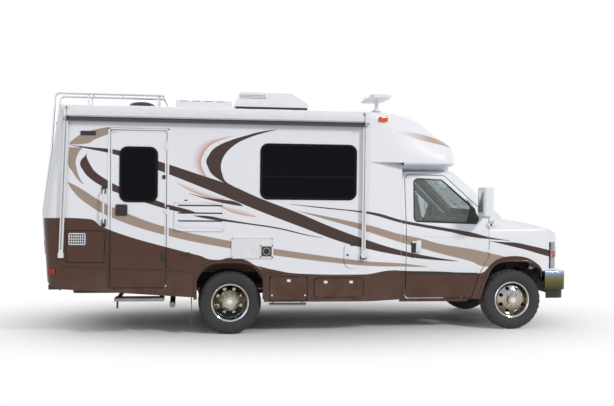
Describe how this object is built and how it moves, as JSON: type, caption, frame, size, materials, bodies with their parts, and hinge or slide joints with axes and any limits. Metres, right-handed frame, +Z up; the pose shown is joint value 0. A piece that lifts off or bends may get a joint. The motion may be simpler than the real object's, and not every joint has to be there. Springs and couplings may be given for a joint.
{
  "type": "motorhome",
  "caption": "Cutaway-cab motorhome with a boxy coach body, a pod over the cab, an awning, and doors, hood, lockers, steering and wheels that move.",
  "frame": {"origin": "middle of the footprint on the ground", "axes": "+X forward, +Y to the vehicle's left, +Z up"},
  "size_m": [6.49, 2.6528, 2.9396],
  "materials": {
    "body_white": "gloss",
    "skirt_brown": "gloss metallic",
    "frame_black": "satin",
    "cast_parts": "rough",
    "engine_parts": "rough",
    "tank_plastic": "matte",
    "exhaust_steel": "satin",
    "tyre_rubber": "matte",
    "wheel_chrome": "polished",
    "bumper_chrome": "polished",
    "grille_chrome": "polished",
    "tinted_glass": "tinted",
    "clear_glass": "clear, slightly green",
    "lamp_lens": "clear and coloured lenses",
    "awning_white": "satin",
    "ladder_aluminium": "satin",
    "white_plastic": "satin",
    "floor_board": "satin",
    "cabinet_wood": "satin",
    "cushion_fabric": "woven",
    "seat_fabric": "woven",
    "dash_plastic": "matte"
  },
  "bodies": {
    "vehicle": {"chassis_frame": "frame_black", "hitch_receiver": "frame_black", "front_axle": "cast_parts", "rear_axle": "cast_parts", "powertrain": "engine_parts", "tanks": "tank_plastic", "exhaust": "exhaust_steel", "coach_floor": "floor_board", "coach_wall_right": "body_white", "coach_wall_left": "body_white", "skirt_right": "skirt_brown", "skirt_left": "skirt_brown", "coach_roof": "body_white", "rear_cap": "body_white", "front_cap": "body_white", "cab_shell": "body_white", "front_end": "body_white", "grille": "grille_chrome", "front_bumper": "bumper_chrome", "lamps": "lamp_lens", "fixed_glass": "tinted_glass", "furniture": "cabinet_wood", "coach_cushions": "cushion_fabric", "cab_seats": "seat_fabric", "dashboard": "dash_plastic", "awning": "awning_white", "ladder_and_rack": "ladder_aluminium", "roof_air_conditioner": "white_plastic", "roof_vents": "white_plastic", "service_panels": "white_plastic"},
    "entry_door": {"entry_door": "body_white", "entry_door_glass": "tinted_glass"},
    "cab_door_right": {"cab_door_right": "body_white", "cab_glass_right": "clear_glass"},
    "cab_door_left": {"cab_door_left": "body_white", "cab_glass_left": "clear_glass"},
    "hood": {"hood": "body_white"},
    "rear_locker_door": {"rear_locker_door": "skirt_brown"},
    "front_locker_door": {"front_locker_door": "skirt_brown"},
    "left_locker_door": {"left_locker_door": "skirt_brown"},
    "gas_locker_door": {"gas_locker_door": "body_white"},
    "knuckle_right": {"knuckle_right": "cast_parts"},
    "knuckle_left": {"knuckle_left": "cast_parts"},
    "front_wheel_right": {"front_tyre_right": "tyre_rubber", "front_rim_right": "wheel_chrome"},
    "front_wheel_left": {"front_tyre_left": "tyre_rubber", "front_rim_left": "wheel_chrome"},
    "rear_wheels_right": {"rear_tyres_right": "tyre_rubber", "rear_rims_right": "wheel_chrome"},
    "rear_wheels_left": {"rear_tyres_left": "tyre_rubber", "rear_rims_left": "wheel_chrome"}
  },
  "joints": [
    {"name": "entry_door_hinge", "type": "hinge", "parent": "vehicle", "child": "entry_door", "pos_m": [-1.75, -1.1933, 1.46], "axis": [0, 0, 1], "range_deg": [0, 165]},
    {"name": "cab_door_right_hinge", "type": "hinge", "parent": "vehicle", "child": "cab_door_right", "pos_m": [2.184, -1.013, 1.14], "axis": [0, 0, 1], "range_deg": [0, 70]},
    {"name": "cab_door_left_hinge", "type": "hinge", "parent": "vehicle", "child": "cab_door_left", "pos_m": [2.184, 1.013, 1.14], "axis": [0, 0, -1], "range_deg": [0, 70]},
    {"name": "hood_hinge", "type": "hinge", "parent": "vehicle", "child": "hood", "pos_m": [2.492, 0, 1.3785], "axis": [0, -1, 0], "range_deg": [0, 50]},
    {"name": "rear_locker_hinge", "type": "hinge", "parent": "vehicle", "child": "rear_locker_door", "pos_m": [-0.325, -1.1933, 0.685], "axis": [-1, 0, 0], "range_deg": [0, 100]},
    {"name": "front_locker_hinge", "type": "hinge", "parent": "vehicle", "child": "front_locker_door", "pos_m": [0.275, -1.1933, 0.437], "axis": [1, 0, 0], "range_deg": [0, 110]},
    {"name": "left_locker_hinge", "type": "hinge", "parent": "vehicle", "child": "left_locker_door", "pos_m": [0.275, 1.1933, 0.683], "axis": [1, 0, 0], "range_deg": [0, 100]},
    {"name": "gas_locker_hinge", "type": "hinge", "parent": "vehicle", "child": "gas_locker_door", "pos_m": [-2.442, -1.1933, 1.029], "axis": [0, 0, 1], "range_deg": [0, 110]},
    {"name": "steering_right", "type": "hinge", "parent": "vehicle", "child": "knuckle_right", "pos_m": [2.5, -0.735, 0.368], "axis": [0, 0, 1], "range_deg": [-32, 32]},
    {"name": "steering_left", "type": "hinge", "parent": "vehicle", "child": "knuckle_left", "pos_m": [2.5, 0.735, 0.368], "axis": [0, 0, 1], "range_deg": [-32, 32]},
    {"name": "front_wheel_right_spin", "type": "hinge", "parent": "knuckle_right", "child": "front_wheel_right", "pos_m": [2.5, -0.8815, 0.368], "axis": [0, 1, 0], "continuous": true},
    {"name": "front_wheel_left_spin", "type": "hinge", "parent": "knuckle_left", "child": "front_wheel_left", "pos_m": [2.5, 0.8815, 0.368], "axis": [0, 1, 0], "continuous": true},
    {"name": "rear_wheels_right_spin", "type": "hinge", "parent": "vehicle", "child": "rear_wheels_right", "pos_m": [-1.005, -0.889, 0.368], "axis": [0, 1, 0], "continuous": true},
    {"name": "rear_wheels_left_spin", "type": "hinge", "parent": "vehicle", "child": "rear_wheels_left", "pos_m": [-1.005, 0.889, 0.368], "axis": [0, 1, 0], "continuous": true}
  ],
  "couplings": [
    {"joint": "steering_left", "follows": "steering_right", "ratio": 1}
  ]
}
